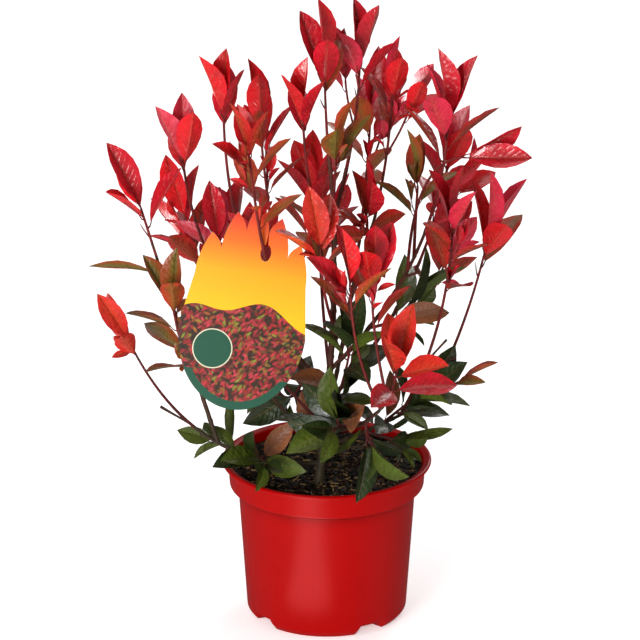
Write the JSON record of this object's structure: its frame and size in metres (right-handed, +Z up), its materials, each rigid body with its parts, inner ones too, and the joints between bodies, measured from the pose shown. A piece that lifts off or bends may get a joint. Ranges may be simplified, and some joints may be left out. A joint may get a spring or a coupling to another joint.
{
  "type": "potted_shrub",
  "caption": "Young photinia in a round red plastic nursery pot: bare thin boughs end in tight upright red leaf sprays over dark green lower leaves, with a blank hang tag",
  "frame": {"origin": "centre of the pot's flat underside, at ground level", "axes": "+Z up the plant; -Y to the front, the side that the tag faces; +X to the right seen from the front"},
  "size_m": [0.3962, 0.377, 0.5897],
  "materials": {
    "pot_plastic": "satin red injection-moulded plastic",
    "compost": "moist dark peat and bark compost; fabric stands in for loose soil",
    "bark": "young reddish-brown bark",
    "tag_card": "printed synthetic card with a satin face",
    "leaf_bright": "glossy bright red young leaves; fabric stands in for leaf",
    "leaf_deep": "glossy deep red leaves; fabric stands in for leaf",
    "leaf_bronze": "leaves turning from red to olive; fabric stands in for leaf",
    "leaf_green": "leathery dark green old leaves; fabric stands in for leaf"
  },
  "bodies": {
    "root": {"pot": "pot_plastic", "compost": "compost", "trunk": "bark", "bough_crest": "bark", "bough_right_crest": "bark", "bough_left_crest": "bark", "bough_tag_twig": "bark", "bough_left_spire": "bark", "bough_right_spire": "bark", "bough_left_shoulder": "bark", "bough_left_low": "bark", "bough_left_wing": "bark", "bough_right_low": "bark", "bough_front_low": "bark", "bough_back_left": "bark", "bough_back_right": "bark", "bough_back_far_right": "bark", "bough_back_wing": "bark", "tag": "tag_card", "leaves_leader": "leaf_bright", "leaves_crest": "leaf_bright", "leaves_right_crest": "leaf_bright", "leaves_left_crest": "leaf_bright", "leaves_tag_twig": "leaf_deep", "leaves_left_spire": "leaf_bright", "leaves_right_spire": "leaf_bright", "leaves_left_shoulder": "leaf_bright", "leaves_left_low": "leaf_bright", "leaves_left_wing": "leaf_bright", "leaves_right_low": "leaf_bronze", "leaves_right_fan": "leaf_bright", "leaves_right_wing": "leaf_bright", "leaves_front_low": "leaf_bright", "leaves_front_mid": "leaf_deep", "leaves_back_left": "leaf_bright", "leaves_back_right": "leaf_bright", "leaves_back_far_right": "leaf_bright", "leaves_back_wing": "leaf_bright", "leaves_front_tall": "leaf_bright", "leaves_heart": "leaf_deep", "leaves_right_heart": "leaf_deep", "leaves_olive_crest": "leaf_bronze", "leaves_right_inner": "leaf_bronze", "leaves_right_arm": "leaf_deep", "leaves_left_mid": "leaf_bronze", "leaves_left_back": "leaf_bright", "leaves_left_rear": "leaf_deep", "leaves_front_heart": "leaf_deep", "leaves_behind_tag": "leaf_bright", "leaves_back_middle": "leaf_bright", "leaves_back_low": "leaf_bright", "leaves_green_front": "leaf_green", "leaves_green_hanging": "leaf_green", "leaves_green_right": "leaf_green", "leaves_green_rim_right": "leaf_green", "leaves_green_rim_left": "leaf_green", "leaves_green_left": "leaf_green", "leaves_green_heart": "leaf_green", "leaves_green_mid": "leaf_green", "leaves_green_back": "leaf_green"}
  },
  "joints": []
}
